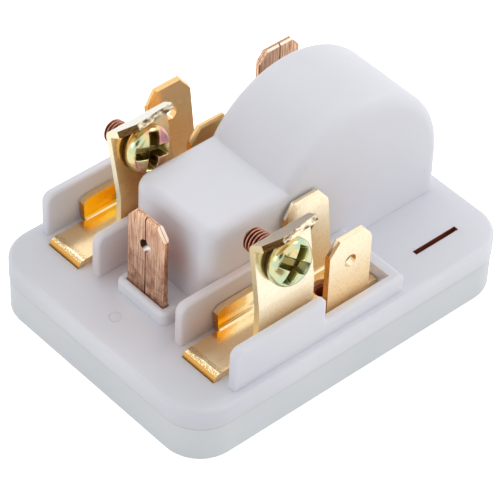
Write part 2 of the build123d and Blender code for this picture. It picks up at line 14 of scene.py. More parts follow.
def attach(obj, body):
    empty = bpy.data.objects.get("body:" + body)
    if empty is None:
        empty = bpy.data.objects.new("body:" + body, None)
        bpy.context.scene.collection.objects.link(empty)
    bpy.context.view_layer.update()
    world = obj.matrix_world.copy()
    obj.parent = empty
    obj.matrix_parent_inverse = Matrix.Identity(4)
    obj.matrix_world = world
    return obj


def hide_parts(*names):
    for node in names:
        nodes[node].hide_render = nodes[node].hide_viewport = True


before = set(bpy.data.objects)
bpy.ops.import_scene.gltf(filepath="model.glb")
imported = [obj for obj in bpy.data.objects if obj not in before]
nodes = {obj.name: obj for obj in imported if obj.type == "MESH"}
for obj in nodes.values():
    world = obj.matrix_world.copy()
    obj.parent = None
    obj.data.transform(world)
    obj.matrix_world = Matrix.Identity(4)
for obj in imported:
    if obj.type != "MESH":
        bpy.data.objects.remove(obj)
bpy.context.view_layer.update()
MM = 0.001

# %% [markdown]
# ## Colours and nodes
# A hex colour is how a swatch is written down, but the shader works in linear light. One function turns
# the first into the second. A second adds one node with its settings and its links, so that a material
# reads like a recipe. A node that is given as an input passes on its first output that is in use. In a
# Mix node, 6 and 7 are its two colours, and 2 and 3 are its two plain numbers.

# %% Helpers for materials


def linear(hex_colour):
    """sRGB hex to linear RGBA: each channel is divided by 12.92 when dark, else raised to the power 2.4."""
    value = np.array([int(hex_colour[i:i + 2], 16) for i in (1, 3, 5)]) / 255
    bright = ((value + 0.055) / 1.055) ** 2.4
    return (*np.where(value <= 0.04045, value / 12.92, bright).tolist(), 1.0)


def fill(node, inputs):
    """Gives the node's sockets a value each, or a link from another node or from one socket of it."""
    for key, value in inputs.items():
        if isinstance(value, bpy.types.Node):
            value = next(output for output in value.outputs if output.enabled)
        if isinstance(value, bpy.types.NodeSocket):
            node.id_data.links.new(value, node.inputs[key])
        else:
            node.inputs[key].default_value = value


def add(tree, kind, inputs=None, **settings):
    """Adds a shader node of one kind. `settings` are its options, `inputs` fills its sockets."""
    node = tree.nodes.new("ShaderNode" + kind)
    for key, value in settings.items():
        setattr(node, key, value)
    fill(node, inputs or {})
    return node


def blank_material(name):
    """A material with only a Principled shader wired to its output, and the object coordinates in mm."""
    material = bpy.data.materials.new(name)
    material.use_nodes = True
    tree = material.node_tree
    tree.nodes.clear()
    shader = add(tree, "BsdfPrincipled")
    add(tree, "OutputMaterial", {"Surface": shader})
    in_metres = add(tree, "TexCoord").outputs["Object"]
    place = add(tree, "VectorMath", {0: in_metres, "Scale": 1 / MM}, operation="SCALE")
    return material, tree, shader, place


print("half grey in linear light:", round(linear("#808080")[0], 3))

# %% [markdown]
# ## Moulded PBT
# The housing and its cover are injection moulded from glass-filled PBT, the usual resin for relays. It is
# off-white and slightly waxy, and light goes about a millimetre into it. Long soft clouds in the colour
# stand for the flow of the melt, which could be painted on, but slow noise does it without a picture.
# A few tiny dark specks are charred grains, as cheap mouldings have. They sit in the middle of some
# cells of a cell pattern.

# %% Resin with clouds and specks
cloud_size, speck_spacing = 9.0, 2.6
speck_core, speck_rim = 0.02, 0.032
cells_without_speck = 0.86
charred_hex = "#A29A98"


def resin(tree, place, body_hex, cloud_hex):
    """The clouds, and the colour: two tones by the clouds, then a grey dot near the middle of each cell
    whose own random number is high."""
    cloud = add(tree, "TexNoise", {
        "Vector": place, "Scale": 1 / cloud_size, "Detail": 4.0, "Roughness": 0.55})
    body = add(tree, "Mix", {
        "Factor": cloud, 6: linear(body_hex), 7: linear(cloud_hex)}, data_type="RGBA")
    cell = add(tree, "TexVoronoi", {"Vector": place, "Scale": 1 / speck_spacing, "Randomness": 1.0})
    dot = add(tree, "MapRange", {
        "Value": cell, "From Min": speck_core, "From Max": speck_rim, "To Min": 1.0, "To Max": 0.0})
    chance = add(tree, "SeparateColor", {"Color": cell.outputs["Color"]})
    charred = add(tree, "Math", {0: chance, 1: cells_without_speck}, operation="GREATER_THAN")
    speck = add(tree, "Math", {0: dot, 1: charred}, operation="MULTIPLY")
    return cloud, add(tree, "Mix", {"Factor": speck, 6: body, 7: linear(charred_hex)}, data_type="RGBA")


# %% [markdown]
# Brass and copper throw warm light on the plastic beside them, and the corners far from any metal stay
# cool and darker. The renderer finds only part of that, because its white tent drowns it. So soft round
# pools of painted light, and painted shade in those corners, are mixed into the colour, each strongest
# at a point and gone at a distance from it. The trays are mirror images, so the points are measured with
# Y taken without its sign, and one glow serves both sides.

# %% Painted glows of the metal, and painted shade, on the plastic
glow_core = 0.4
painted_glows_and_shade = {
    # All but one of these are painted light; the corners' blue grey is painted shade.
    "tray wall beside the leg": ((-14.0, 8.5, 10.0), 7.0, 0.50, "#C89466"),
    "tray wall behind it": ((-9.0, 8.2, 9.5), 6.0, 0.34, "#CFA788"),
    "block beside a screw": ((-8.0, 7.0, 15.0), 7.0, 0.36, "#EFCDAE"),
    "painted shade on the plinth's corners": ((-24.0, 18.0, 4.0), 17.0, 0.26, "#A4AFB6"),
    "tray below the tabs": ((0.0, 9.0, 10.0), 7.5, 0.30, "#E6C49F"),
    "block behind the blade": ((-13.0, 0.8, 14.5), 4.6, 0.42, "#CE8268"),
}


def glowing(tree, either_side, colour, glows):
    """Mixes in each glow's colour: by its amount near its point, and smoothly less with the distance."""
    for centre, reach, amount, tint_hex in glows:
        away = add(tree, "VectorMath", {0: either_side, 1: centre}, operation="DISTANCE")
        glow = add(tree, "MapRange", {
            "Value": away, "From Min": glow_core, "From Max": reach, "To Min": amount, "To Max": 0.0},
            interpolation_type="SMOOTHSTEP")
        colour = add(tree, "Mix", {"Factor": glow, 6: colour, 7: linear(tint_hex)}, data_type="RGBA")
    return colour


print("glows:", ", ".join(painted_glows_and_shade))

# %% [markdown]
# The slot in the plinth and the hole in each tray look brown inside: they lie in shade, and the metal
# below shines up their walls. That shade and reflected light are painted: the slot's walls are coloured
# inside a box a little larger than the slot, and the holes' walls inside a ball. The seam between
# housing and cover is a thin grey shadow, which is drawn as a line.

# %% Painted shade in the slot and holes, and the seam
hole_centre, hole_reach = (0.5, 11.6, 7.0), 1.8
slot_centre, slot_half_size = (16.3, -13.3, 6.3), (3.45, 0.36, 1.42)
seam_height, seam_half_width, seam_share = 4.94, 0.1, 0.6
hollow_shade_hex, seam_hex = "#8A3E28", "#8D8F92"


def openings_and_seam(tree, place, spot, either_side, colour):
    """Paints shade and the brown of reflected metal on what is nearer to the hole than its reach, or
    nearer to the slot's middle than the box's half size along X, Y and Z alike. Then greys what is
    within half a line's width of the seam."""
    from_hole = add(tree, "VectorMath", {0: either_side, 1: hole_centre}, operation="DISTANCE")
    in_hole = add(tree, "Math", {0: from_hole, 1: hole_reach}, operation="LESS_THAN")
    from_slot = add(tree, "VectorMath", {0: place, 1: slot_centre}, operation="SUBTRACT")
    boxed = add(tree, "VectorMath", {0: from_slot, 1: slot_half_size}, operation="DIVIDE")
    away = add(tree, "VectorMath", {0: boxed}, operation="ABSOLUTE")
    axes = add(tree, "SeparateXYZ", {"Vector": away})
    flat = add(tree, "Math", {0: axes.outputs["X"], 1: axes.outputs["Y"]}, operation="MAXIMUM")
    furthest = add(tree, "Math", {0: flat, 1: axes.outputs["Z"]}, operation="MAXIMUM")
    in_slot = add(tree, "Math", {0: furthest, 1: 1.0}, operation="LESS_THAN")
    inside = add(tree, "Math", {0: in_slot, 1: in_hole}, operation="MAXIMUM")
    # Painted shade and reflected copper inside the slot and the holes.
    deepened = add(tree, "Mix", {"Factor": inside, 6: colour, 7: linear(hollow_shade_hex)}, data_type="RGBA")
    at_seam = add(tree, "Math", {
        0: spot.outputs["Z"], 1: seam_height, 2: seam_half_width}, operation="COMPARE")
    shadow = add(tree, "Math", {0: at_seam, 1: seam_share}, operation="MULTIPLY")
    return add(tree, "Mix", {"Factor": shadow, 6: deepened, 7: linear(seam_hex)}, data_type="RGBA")


# %% [markdown]
# The mould is spark eroded, which leaves a satin skin with a grain of about 0.05 mm. Grain that fine is
# under one pixel here, so it is drawn at 0.12 mm, and it needs only a bump. Where the melt flowed slower
# the skin is a little duller, so the clouds also steer the gloss.

# %% Finish: moulded PBT
mould_grain = 0.12


def moulded_pbt(name, body_hex, cloud_hex, glows):
    """Resin, then the glows, then stains and seam. A soft gloss, a fine bump and some light inside."""
    material, tree, shader, place = blank_material(name)
    cloud, speckled = resin(tree, place, body_hex, cloud_hex)
    spot = add(tree, "SeparateXYZ", {"Vector": place})
    unsigned_y = add(tree, "Math", {0: spot.outputs["Y"]}, operation="ABSOLUTE")
    either_side = add(tree, "CombineXYZ", {
        "X": spot.outputs["X"], "Y": unsigned_y, "Z": spot.outputs["Z"]})
    glowed = glowing(tree, either_side, speckled, glows)
    grain = add(tree, "TexNoise", {
        "Vector": place, "Scale": 1 / mould_grain, "Detail": 2.0, "Roughness": 0.6})
    gloss = add(tree, "MapRange", {
        "Value": cloud, "From Min": 0.3, "From Max": 0.7, "To Min": 0.40, "To Max": 0.52})
    skin = add(tree, "Bump", {"Height": grain, "Strength": 0.12, "Distance": 0.01 * MM})
    fill(shader, {
        "Base Color": openings_and_seam(tree, place, spot, either_side, glowed),
        "Roughness": gloss,
        "Normal": skin,
        "IOR": 1.55,
        "Subsurface Weight": 0.55,
        "Subsurface Radius": (1.0, 0.95, 0.95),
        "Subsurface Scale": 1.1 * MM,
    })
    return material


housing_pbt = moulded_pbt("moulded_pbt_white", "#E9E9F0", "#E4E5EC", painted_glows_and_shade.values())
cover_pbt = moulded_pbt("moulded_pbt_grey", "#DEE2E5", "#D8DDE0", ())
print("finishes:", housing_pbt.name, cover_pbt.name)

# %% [markdown]
# ## Rolled brass
# The terminals are punched and folded from half-hard brass strip, bright from the rolls: the plates and
# tabs mirror what stands round them, a little blurred by fine lines along the strip. Clean brass is a
# pale gold. Between two faces light bounces from brass to brass and comes out orange, and the fat of the
# press stays longest low down and stains, so the tone is painted deeper downwards: part of it is painted
# light from those bounces and part is the stain. The tabs have a tone of their own higher up. Specks like
# sand are oxide in the pores of the strip.

# %% Brass: the sheet
tabs_from_x = -4.0
deep_tone_full_height, deep_tone_gone_height = 9.0, 17.0
deep_tone_patch, patch_share, sand_size = 3.5, 0.35, 0.2
sand_hex = "#B08A50"


def brass_sheet(tree, place, where, on_tabs, light_hex, deep_hex, tab_hex):
    """Light to deep tone by height and slow noise, painted bounce light and stain in one, then the tab tone
    where the deep tone is weak, then specks.
    """
    clouds = add(tree, "TexNoise", {
        "Vector": place, "Scale": 1 / deep_tone_patch, "Detail": 3.0, "Roughness": 0.5})
    # Painted bounce light and stain: a deeper tone low down.
    low_down = add(tree, "MapRange", {
        "Value": where.outputs["Z"], "From Min": deep_tone_full_height, "From Max": deep_tone_gone_height,
        "To Min": 1.0, "To Max": 0.0}, interpolation_type="SMOOTHSTEP")
    tone = add(tree, "Math", {0: clouds, 1: patch_share, 2: low_down}, operation="MULTIPLY_ADD")
    deepened = add(tree, "MapRange", {"Value": tone, "From Min": 0.12, "From Max": 1.15})
    sheet = add(tree, "Mix", {
        "Factor": deepened, 6: linear(light_hex), 7: linear(deep_hex)}, data_type="RGBA")
    tab_toned = add(tree, "Math", {0: on_tabs, 1: deepened}, operation="SUBTRACT", use_clamp=True)
    sheet = add(tree, "Mix", {"Factor": tab_toned, 6: sheet, 7: linear(tab_hex)}, data_type="RGBA")
    sand = add(tree, "TexNoise", {"Vector": place, "Scale": 1 / sand_size, "Detail": 3.0})
    sandy = add(tree, "MapRange", {
        "Value": sand, "From Min": 0.34, "From Max": 0.48, "To Min": 0.16, "To Max": 0.0})
    return add(tree, "Mix", {"Factor": sandy, 6: sheet, 7: linear(sand_hex)}, data_type="RGBA")


# %% [markdown]
# A punch leaves an edge rougher and browner than the rolled face, and fat collects on it. Those edges
# look along X, so the face's direction finds them. On the tabs and the side flange they are a greasy
# orange. The flange mirrors the floor beside it, gold into gold, so its inner face is painted a deeper
# yellow as that reflection. On the near terminal it pales to a painted highlight towards the back, where
# the sky shows through the gap behind the plate.

# %% Brass: punched edges and side flange
behind_leg_x, edge_likeness, grease_hex = -17.4, 0.93, "#D69A50"
flange_half_width, flange_ends_x = 0.55, -5.0
flange_deep_reflection_x, flange_highlight_x = -12.2, -9.8


def brass_edges(tree, where, direction, on_tabs, at_flange, edge_hex, colour):
    """Where the edges are, and the colour with them: faces whose direction is nearly X, behind the leg."""
    along_x = add(tree, "Math", {0: direction.outputs["X"]}, operation="ABSOLUTE")
    punched = add(tree, "Math", {0: along_x, 1: edge_likeness}, operation="GREATER_THAN")
    behind_leg = add(tree, "Math", {0: where.outputs["X"], 1: behind_leg_x}, operation="GREATER_THAN")
    edge = add(tree, "Math", {0: punched, 1: behind_leg}, operation="MULTIPLY")
    greasy = add(tree, "Math", {0: on_tabs, 1: at_flange}, operation="MAXIMUM")
    edge_tone = add(tree, "Mix", {
        "Factor": greasy, 6: linear(edge_hex), 7: linear(grease_hex)}, data_type="RGBA")
    return edge, add(tree, "Mix", {"Factor": edge, 6: colour, 7: edge_tone}, data_type="RGBA")


def brass_flange(tree, where, direction, at_flange, flange_reflection_hexes, colour):
    """Where the flange's inner face is, and the colour with it: faces at the flange's Y, in front of the
    tabs, that look towards minus Y."""
    # Painted reflection of the floor, paling to a painted highlight at the back.
    along = add(tree, "MapRange", {
        "Value": where.outputs["X"], "From Min": flange_deep_reflection_x, "From Max": flange_highlight_x})
    tone = add(tree, "Mix", {
        "Factor": along, 6: linear(flange_reflection_hexes[0]), 7: linear(flange_reflection_hexes[1])}, data_type="RGBA")
    before_tabs = add(tree, "Math", {0: where.outputs["X"], 1: flange_ends_x}, operation="LESS_THAN")
    looks_in = add(tree, "MapRange", {
        "Value": direction.outputs["Y"], "From Min": -0.4, "From Max": -0.9})
    side = add(tree, "Math", {0: at_flange, 1: looks_in}, operation="MULTIPLY")
    inside = add(tree, "Math", {0: side, 1: before_tabs}, operation="MULTIPLY")
    return inside, add(tree, "Mix", {"Factor": inside, 6: colour, 7: tone}, data_type="RGBA")


# %% [markdown]
# The bent lip ends the screw plate. Its top mirrors the dull side of the tent, and that reflection is
# painted on it in grey. Its edge is where the strip was sheared off: the metal was dragged along and tore,
# so dark and bright streaks lie along X there. The bright streaks are painted glints, and the left corner,
# which lies in shade, is painted darker. A stretched noise makes the streaks.

# %% Brass: lip
lip_from_height, lip_edge_from_height = 23.9, 24.1
lip_up_likeness, lip_edge_direction, lip_edge_likeness = 0.75, (0.0, -0.848, 0.53), 0.85
tear_size, tear_stretch = 0.42, 0.35
corner_shade_x, corner_lit_x = -10.9, -10.5
tear_dark_hex, tear_glint_hex = "#6E5634", "#FFF0D2"


def brass_lip(tree, place, where, facing, direction, lip_reflection_hex, colour):
    """Where the sheared edge is, and the colour with lip and edge. The lip's top is high up and looks up.
    The edge is high up too, and its direction, multiplied by the known one, gives nearly 1."""
    high_up = add(tree, "Math", {0: where.outputs["Z"], 1: lip_from_height}, operation="GREATER_THAN")
    faces_up = add(tree, "Math", {
        0: direction.outputs["Z"], 1: lip_up_likeness}, operation="GREATER_THAN")
    lip_top = add(tree, "Math", {0: high_up, 1: faces_up}, operation="MULTIPLY")
    # Painted reflection: the lip's top is grey.
    lip_reflected = add(tree, "Mix", {"Factor": lip_top, 6: colour, 7: linear(lip_reflection_hex)}, data_type="RGBA")
    likeness = add(tree, "VectorMath", {
        0: facing.outputs["True Normal"], 1: lip_edge_direction}, operation="DOT_PRODUCT")
    alike = add(tree, "Math", {0: likeness, 1: lip_edge_likeness}, operation="GREATER_THAN")
    above_plate = add(tree, "Math", {
        0: where.outputs["Z"], 1: lip_edge_from_height}, operation="GREATER_THAN")
    sheared = add(tree, "Math", {0: alike, 1: above_plate}, operation="MULTIPLY")
    drag = add(tree, "Mapping", {"Vector": place, "Scale": (tear_stretch, 1.0, 1.0)})
    tear = add(tree, "TexNoise", {"Vector": drag, "Scale": 1 / tear_size, "Detail": 2.0})
    # Painted shade: the left corner of the torn edge is darker.
    shaded_corner = add(tree, "MapRange", {
        "Value": where.outputs["X"], "From Min": corner_shade_x, "From Max": corner_lit_x,
        "To Min": -0.3, "To Max": 0.06})
    torn = add(tree, "Math", {0: tear, 1: shaded_corner}, operation="ADD")
    bright = add(tree, "MapRange", {"Value": torn, "From Min": 0.40, "From Max": 0.66})
    # Painted glints: the bright streaks on the torn edge.
    tear_colour = add(tree, "Mix", {
        "Factor": bright, 6: linear(tear_dark_hex), 7: linear(tear_glint_hex)}, data_type="RGBA")
    return sheared, add(tree, "Mix", {"Factor": sheared, 6: lip_reflected, 7: tear_colour}, data_type="RGBA")


# %% [markdown]
# Where the strip bends down over the tray's nose its outer grains have been stretched apart. That
# crinkles the surface, which glitters: pale grains of about 0.15 mm are painted glints among brown ones.
# The leg below it looks at the dark side of the room, so it is painted a plain deeper gold as shade.

# %% Brass: front bend and leg
bend_ends_x, bend_fades_x = -16.8, -17.1
bend_grain, grain_glint_hex, grain_brown_hex = 0.15, "#FFF2D0", "#C9A262"
leg_likeness, leg_shade_hex = -0.70, "#D8A050"


def brass_bend(tree, place, where, direction, colour):
    """Grains on faces that look up in front of the bend's end, a deeper gold on those that look forward."""
    looks_up = add(tree, "MapRange", {
        "Value": direction.outputs["Z"], "From Min": 0.66, "From Max": 0.78})
    in_front = add(tree, "MapRange", {
        "Value": where.outputs["X"], "From Min": bend_fades_x, "From Max": bend_ends_x,
        "To Min": 1.0, "To Max": 0.0})
    stretched = add(tree, "Math", {0: looks_up, 1: in_front}, operation="MULTIPLY")
    grains = add(tree, "TexNoise", {"Vector": place, "Scale": 1 / bend_grain, "Detail": 3.0})
    # Painted glints: pale grains among brown on the bend.
    grain_tone = add(tree, "MapRange", {"Value": grains, "From Min": 0.34, "From Max": 0.62})
    grain_colour = add(tree, "Mix", {
        "Factor": grain_tone, 6: linear(grain_glint_hex), 7: linear(grain_brown_hex)}, data_type="RGBA")
    glinted = add(tree, "Mix", {"Factor": stretched, 6: colour, 7: grain_colour}, data_type="RGBA")
    # Painted shade: the leg is a plain deeper gold.
    looks_front = add(tree, "Math", {0: direction.outputs["X"], 1: leg_likeness}, operation="LESS_THAN")
    leg_face = add(tree, "Math", {0: looks_front, 1: in_front}, operation="MULTIPLY")
    return add(tree, "Mix", {"Factor": leg_face, 6: glinted, 7: linear(leg_shade_hex)}, data_type="RGBA")


# %% [markdown]
# Rolled brass is shiny, with a roughness near 0.2. The press polished the floor and the inside of the
# flange, fingers and fat dulled the lower half of the screw plate, and a punched edge is rougher. The
# relief is the lines of the rolls, a mottle, and on the bend and the torn edge a coarse crinkle.

# %% Brass: gloss and relief
floor_below_height = 9.5
plate_dull_height, plate_clear_height = 13.0, 18.0
polish, floor_share, low_plate_dulling, edge_dulling = -0.11, 0.15, 0.55, 0.10
roll_line, roll_stretch, roll_share, crinkle_size = 0.14, 0.1, 0.6, 0.45
crinkle_full_x, crinkle_none_x = -17.9, -16.9
crinkle_on_bend, crinkle_on_tear = 7.0, 10.0


def brass_gloss(tree, where, direction, mottle, edge, flange_inside):
    """Roughness: the mottle's, less on floor and flange, more low on faces that look out, and on edges."""
    satin = add(tree, "MapRange", {
        "Value": mottle, "From Min": 0.3, "From Max": 0.7, "To Min": 0.15, "To Max": 0.24})
    looks_up = add(tree, "MapRange", {
        "Value": direction.outputs["Z"], "From Min": 0.8, "From Max": 0.95})
    is_low = add(tree, "Math", {0: where.outputs["Z"], 1: floor_below_height}, operation="LESS_THAN")
    on_floor = add(tree, "Math", {0: looks_up, 1: is_low}, operation="MULTIPLY")
    pressed = add(tree, "Math", {
        0: on_floor, 1: floor_share, 2: flange_inside}, operation="MULTIPLY_ADD")
    shinier = add(tree, "Math", {0: pressed, 1: polish, 2: satin}, operation="MULTIPLY_ADD")
    low_plate = add(tree, "MapRange", {
        "Value": where.outputs["Z"], "From Min": plate_dull_height, "From Max": plate_clear_height,
        "To Min": low_plate_dulling, "To Max": 0.0})
    looks_out = add(tree, "MapRange", {
        "Value": direction.outputs["Y"], "From Min": -0.6, "From Max": -0.9})
    off_flange = add(tree, "Math", {
        0: looks_out, 1: flange_inside}, operation="SUBTRACT", use_clamp=True)
    dulled = add(tree, "Math", {0: off_flange, 1: low_plate, 2: shinier}, operation="MULTIPLY_ADD")
    return add(tree, "Math", {0: edge, 1: edge_dulling, 2: dulled}, operation="MULTIPLY_ADD")


def brass_relief(tree, place, where, mottle, sheared):
    """Bump from a height: a share of the roll lines, the mottle, and crinkle where the strip was worked."""
    stretch = add(tree, "Mapping", {"Vector": place, "Scale": (roll_stretch, 1.0, 1.0)})
    lines = add(tree, "TexNoise", {
        "Vector": stretch, "Scale": 1 / roll_line, "Detail": 3.0, "Roughness": 0.7})
    rolled = add(tree, "Math", {0: lines, 1: roll_share, 2: mottle}, operation="MULTIPLY_ADD")
    crinkle = add(tree, "TexNoise", {"Vector": place, "Scale": 1 / crinkle_size, "Detail": 3.0})
    on_bend = add(tree, "MapRange", {
        "Value": where.outputs["X"], "From Min": crinkle_full_x, "From Max": crinkle_none_x,
        "To Min": crinkle_on_bend, "To Max": 0.0})
    worked = add(tree, "Math", {0: sheared, 1: crinkle_on_tear, 2: on_bend}, operation="MULTIPLY_ADD")
    height = add(tree, "Math", {0: crinkle, 1: worked, 2: rolled}, operation="MULTIPLY_ADD")
    return add(tree, "Bump", {"Height": height, "Strength": 0.35, "Distance": 0.012 * MM})


# %% [markdown]
# One function puts the sheet, its edges, flange, lip and bend together. The near and the far terminal
# have the same places along X and Z, but mirror other things, so they get their own painted tones of
# reflection: the far one, which mirrors the shaded block, is painted a deeper gold. The bus plates and the
# sleeves are plain strip without a flange, which their flange place far outside the part says.

# %% Finish: rolled brass
mottle_size = 0.7
no_flange_y = 99.0


def rolled_brass(name, light_hex, deep_hex, edge_hex, tab_hex, flange_y, flange_reflection_hexes, lip_reflection_hex):
    """Sheet, edges, flange, lip and bend in turn, each over the colour so far. A metal with their gloss."""
    material, tree, shader, place = blank_material(name)
    where = add(tree, "SeparateXYZ", {"Vector": place})
    facing = add(tree, "NewGeometry")
    direction = add(tree, "SeparateXYZ", {"Vector": facing.outputs["True Normal"]})
    mottle = add(tree, "TexNoise", {
        "Vector": place, "Scale": 1 / mottle_size, "Detail": 4.0, "Roughness": 0.6})
    on_tabs = add(tree, "Math", {0: where.outputs["X"], 1: tabs_from_x}, operation="GREATER_THAN")
    at_flange = add(tree, "Math", {
        0: where.outputs["Y"], 1: flange_y, 2: flange_half_width}, operation="COMPARE")
    colour = brass_sheet(tree, place, where, on_tabs, light_hex, deep_hex, tab_hex)
    edge, colour = brass_edges(tree, where, direction, on_tabs, at_flange, edge_hex, colour)
    flange_inside, colour = brass_flange(tree, where, direction, at_flange, flange_reflection_hexes, colour)
    sheared, colour = brass_lip(tree, place, where, facing, direction, lip_reflection_hex, colour)
    fill(shader, {
        "Base Color": brass_bend(tree, place, where, direction, colour),
        "Roughness": brass_gloss(tree, where, direction, mottle, edge, flange_inside),
        "Normal": brass_relief(tree, place, where, mottle, sheared),
        "Metallic": 1.0,
    })
    return material


plain = ("#E3C98F", "#E3C98F")
line_brass = rolled_brass(
    "rolled_brass", "#F7EAD0", "#FBE2B6", "#E2CDA0", "#F8E8C8", -8.5, ("#FFBE1C", "#FFFCEC"), "#C6B294")
# The far terminal's deeper gold is painted reflection of the shaded block.
neutral_brass = rolled_brass(
    "rolled_brass_shaded", "#F4CE94", "#F2D8AC", "#EFE6C6", "#F0C88C", 14.9,
    ("#FFD62C", "#FFD62C"), "#D6D4C8")
bus_brass = rolled_brass(
    "rolled_brass_bus", "#E3C98F", "#D6B676", "#B98B50", "#E3C98F", no_flange_y, plain, "#D0C5B6")
spring_bronze = rolled_brass(
    "rolled_phosphor_bronze", "#D8AC78", "#C99763", "#A5764A", "#D8AC78", no_flange_y, plain, "#D0C5B6")
print("finishes:", line_brass.name, neutral_brass.name, bus_brass.name, spring_bronze.name)

# %% [markdown]
# ## Drawn copper
# The push-on blades are copper strip folded double. Bare copper dulls to a pinkish brown within weeks,
# and drawing and folding leave scratches along the blade, so the noise is stretched along Z. Darker
# blotches of oxide gather low down, near the housing.

# %% Copper: streaks and oxide
copper, tree, shader, place = blank_material("drawn_copper")
streak_width, streak_stretch, blotch_size = 0.16, 0.06, 1.1
height = add(tree, "SeparateXYZ", {"Vector": place})
streak_map = add(tree, "Mapping", {"Vector": place, "Scale": (1.0, 1.0, streak_stretch)})
streaks = add(tree, "TexNoise", {
    "Vector": streak_map, "Scale": 1 / streak_width, "Detail": 4.0, "Roughness": 0.7})
streak_tone = add(tree, "MapRange", {"Value": streaks, "From Min": 0.38, "From Max": 0.64})
bright_copper = add(tree, "Mix", {
    "Factor": streak_tone, 6: linear("#B47B5A"), 7: linear("#FBD6B6")}, data_type="RGBA")
blotch = add(tree, "TexNoise", {
    "Vector": place, "Scale": 1 / blotch_size, "Detail": 5.0, "Roughness": 0.65})
low_down = add(tree, "MapRange", {
    "Value": height.outputs["Z"], "From Min": 9.0, "From Max": 17.0, "To Min": 0.15, "To Max": -0.08})
oxide_amount = add(tree, "Math", {0: blotch, 1: low_down}, operation="ADD")
oxide = add(tree, "MapRange", {"Value": oxide_amount, "From Min": 0.52, "From Max": 0.78})
tarnished = add(tree, "Mix", {
    "Factor": oxide, 6: bright_copper, 7: linear("#8A5C46")}, data_type="RGBA")

# %% [markdown]
# The cut corners of a blade's tip are bare metal, and so small that each mirrors one thing only: the
# right one a lamp, the left one the dark. The wall of the hole is bright at the lower right, where
# light from the upper left lands, and dark opposite. The direction of a face picks out the corners, and
# the distance from the hole's axis picks out its wall.

# %% Finish: drawn copper
bright_corner, shaded_corner, corner_likeness = (0.0, -0.78, 0.62), (0.0, 0.78, 0.62), 0.96
hole_height, hole_wall_radius = 16.65, 0.88
hole_bright_below, hole_dark_above = 16.1, 16.7
facing = add(tree, "NewGeometry")
for corner, corner_hex in ((bright_corner, "#FFE9D8"), (shaded_corner, "#7A4E38")):
    likeness = add(tree, "VectorMath", {
        0: facing.outputs["True Normal"], 1: corner}, operation="DOT_PRODUCT")
    on_corner = add(tree, "Math", {0: likeness, 1: corner_likeness}, operation="GREATER_THAN")
    tarnished = add(tree, "Mix", {
        "Factor": on_corner, 6: tarnished, 7: linear(corner_hex)}, data_type="RGBA")
across = add(tree, "VectorMath", {0: place, 1: (0.0, 1.0, 1.0)}, operation="MULTIPLY")
from_axis = add(tree, "VectorMath", {0: across, 1: (0.0, 0.0, hole_height)}, operation="DISTANCE")
in_hole = add(tree, "Math", {0: from_axis, 1: hole_wall_radius}, operation="LESS_THAN")
left_and_high = add(tree, "Math", {0: height.outputs["Y"], 1: height.outputs["Z"]}, operation="ADD")
hole_side = add(tree, "MapRange", {
    "Value": left_and_high, "From Min": hole_bright_below, "From Max": hole_dark_above})
hole_tone = add(tree, "Mix", {
    "Factor": hole_side, 6: linear("#FFF4EC"), 7: linear("#4A2E22")}, data_type="RGBA")
fill(shader, {
    "Base Color": add(tree, "Mix", {"Factor": in_hole, 6: tarnished, 7: hole_tone}, data_type="RGBA"),
    "Roughness": add(tree, "MapRange", {"Value": oxide, "To Min": 0.32, "To Max": 0.55}),
    "Normal": add(tree, "Bump", {"Height": streaks, "Strength": 0.6, "Distance": 0.02 * MM}),
    "Metallic": 1.0,
})
print("finish:", copper.name)

# %% [markdown]
# ## Yellow zinc
# The screws are steel, zinc plated and dipped in yellow chromate. The chromate is a film thinner than a
# wavelength of light, so its colour drifts between gold, green and pink as its thickness drifts. A slow
# noise through a colour ramp does the same, and the film is a little thinner on the far screw. The
# rolled thread is left nearly bare and has turned brown, and its grooves are painted nearly black as the
# shade in them. Deep in the cross recess a dark olive is painted as the shade there. The screw's mesh
# says where these are, with a number at each point: 0 on the head, 1 on a crest of the thread, 2 in a
# groove and -1 deep in the recess.

# %% Colour of the chromate film
zinc, tree, shader, place = blank_material("yellow_chromate_zinc")
film_patch, near_y, far_y = 2.4, -14.0, 8.0
film = add(tree, "TexNoise", {
    "Vector": place, "Scale": 1 / film_patch, "Detail": 3.0, "Roughness": 0.5, "Distortion": 0.8})
across_relay = add(tree, "SeparateXYZ", {"Vector": place})
thinner = add(tree, "MapRange", {
    "Value": across_relay.outputs["Y"], "From Min": near_y, "From Max": far_y,
    "To Min": 0.04, "To Max": -0.14})
film_thickness = add(tree, "Math", {0: film, 1: thinner}, operation="ADD")
film_colours = add(tree, "ValToRGB", {"Fac": film_thickness})
film_stops = {0.24: "#D48FA4", 0.34: "#E3B49A", 0.43: "#E6CF92", 0.52: "#D0D3A4", 0.64: "#BCD0B0"}
ramp = film_colours.color_ramp
while len(ramp.elements) < len(film_stops):
    ramp.elements.new(0.5)
for element, (position, film_hex) in zip(ramp.elements, film_stops.items()):
    element.position = position
    element.color = linear(film_hex)
print("film colours:", len(ramp.elements))

# %% Finish: yellow chromate zinc
plating_grain, recess_shade_gain = 0.35, -0.8
thread = add(tree, "Attribute", attribute_name="thread", attribute_type="GEOMETRY").outputs["Fac"]
plated = add(tree, "Mix", {"Factor": thread, 6: film_colours, 7: linear("#BC8A78")}, data_type="RGBA")
# Painted shade, dark olive, deep in the cross recess.
recess = add(tree, "Math", {0: thread, 1: recess_shade_gain}, operation="MULTIPLY", use_clamp=True)
recess_shaded = add(tree, "Mix", {"Factor": recess, 6: plated, 7: linear("#6A611E")}, data_type="RGBA")
